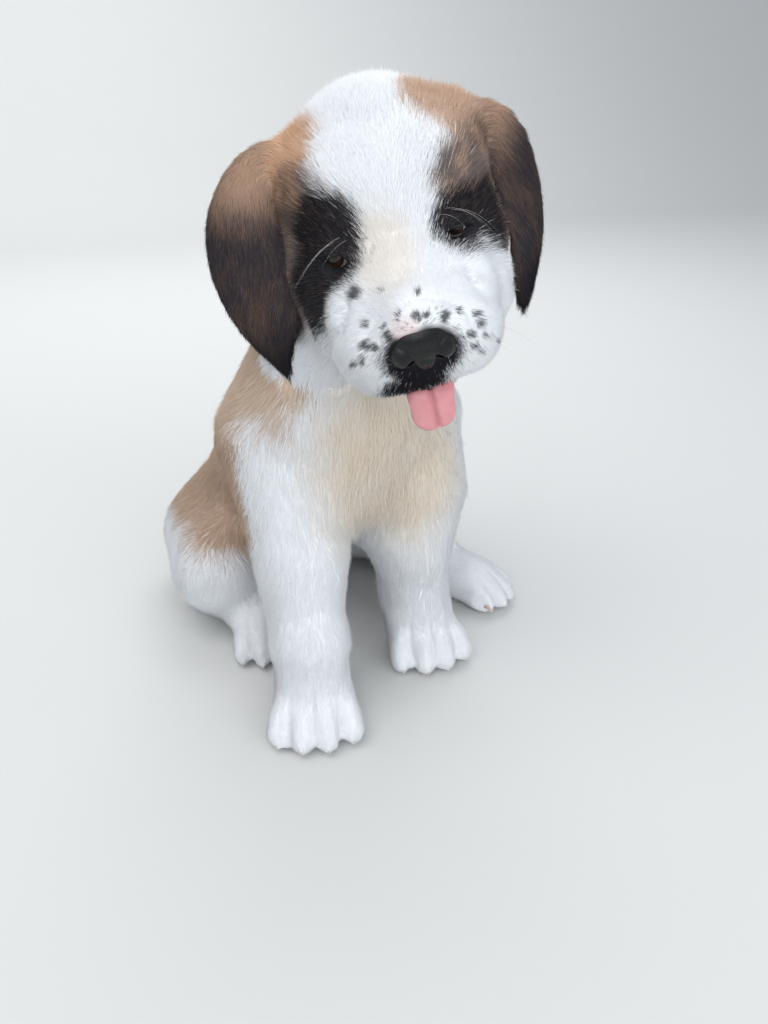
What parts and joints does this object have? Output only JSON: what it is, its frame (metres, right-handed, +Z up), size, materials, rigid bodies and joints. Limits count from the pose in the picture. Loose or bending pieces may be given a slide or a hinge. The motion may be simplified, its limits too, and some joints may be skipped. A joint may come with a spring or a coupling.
{
  "type": "saint bernard puppy",
  "caption": "Sitting Saint Bernard puppy, life size, head tilted with hanging ears and tongue tip out, forelegs upright, hind legs folded and tail laid on the floor.",
  "frame": {"origin": "on the floor, under the middle of the whole model's box", "axes": "+Z up, the dog faces -Y with its left side to +X"},
  "size_m": [0.2712, 0.3818, 0.3842],
  "materials": {
    "coat": "short dense puppy fur, white with tan blanket, dark ears and eye patches, matt",
    "nose_skin": "black pebbled nose skin, satin and slightly damp",
    "tongue": "pink, finely grained, moist",
    "eye": "dark brown, wet gloss",
    "claw": "pale translucent horn, satin"
  },
  "bodies": {
    "root": {"head": "coat", "lower_jaw": "coat", "nose": "nose_skin", "tongue": "tongue", "eye_left": "eye", "eye_right": "eye", "ear_left": "coat", "ear_right": "coat", "neck": "coat", "torso": "coat", "tail": "coat", "foreleg_left": "coat", "foreleg_right": "coat", "forepaw_left": "coat", "forepaw_right": "coat", "hindleg_left": "coat", "hindleg_right": "coat", "hindpaw_left": "coat", "hindpaw_right": "coat"}
  },
  "joints": []
}
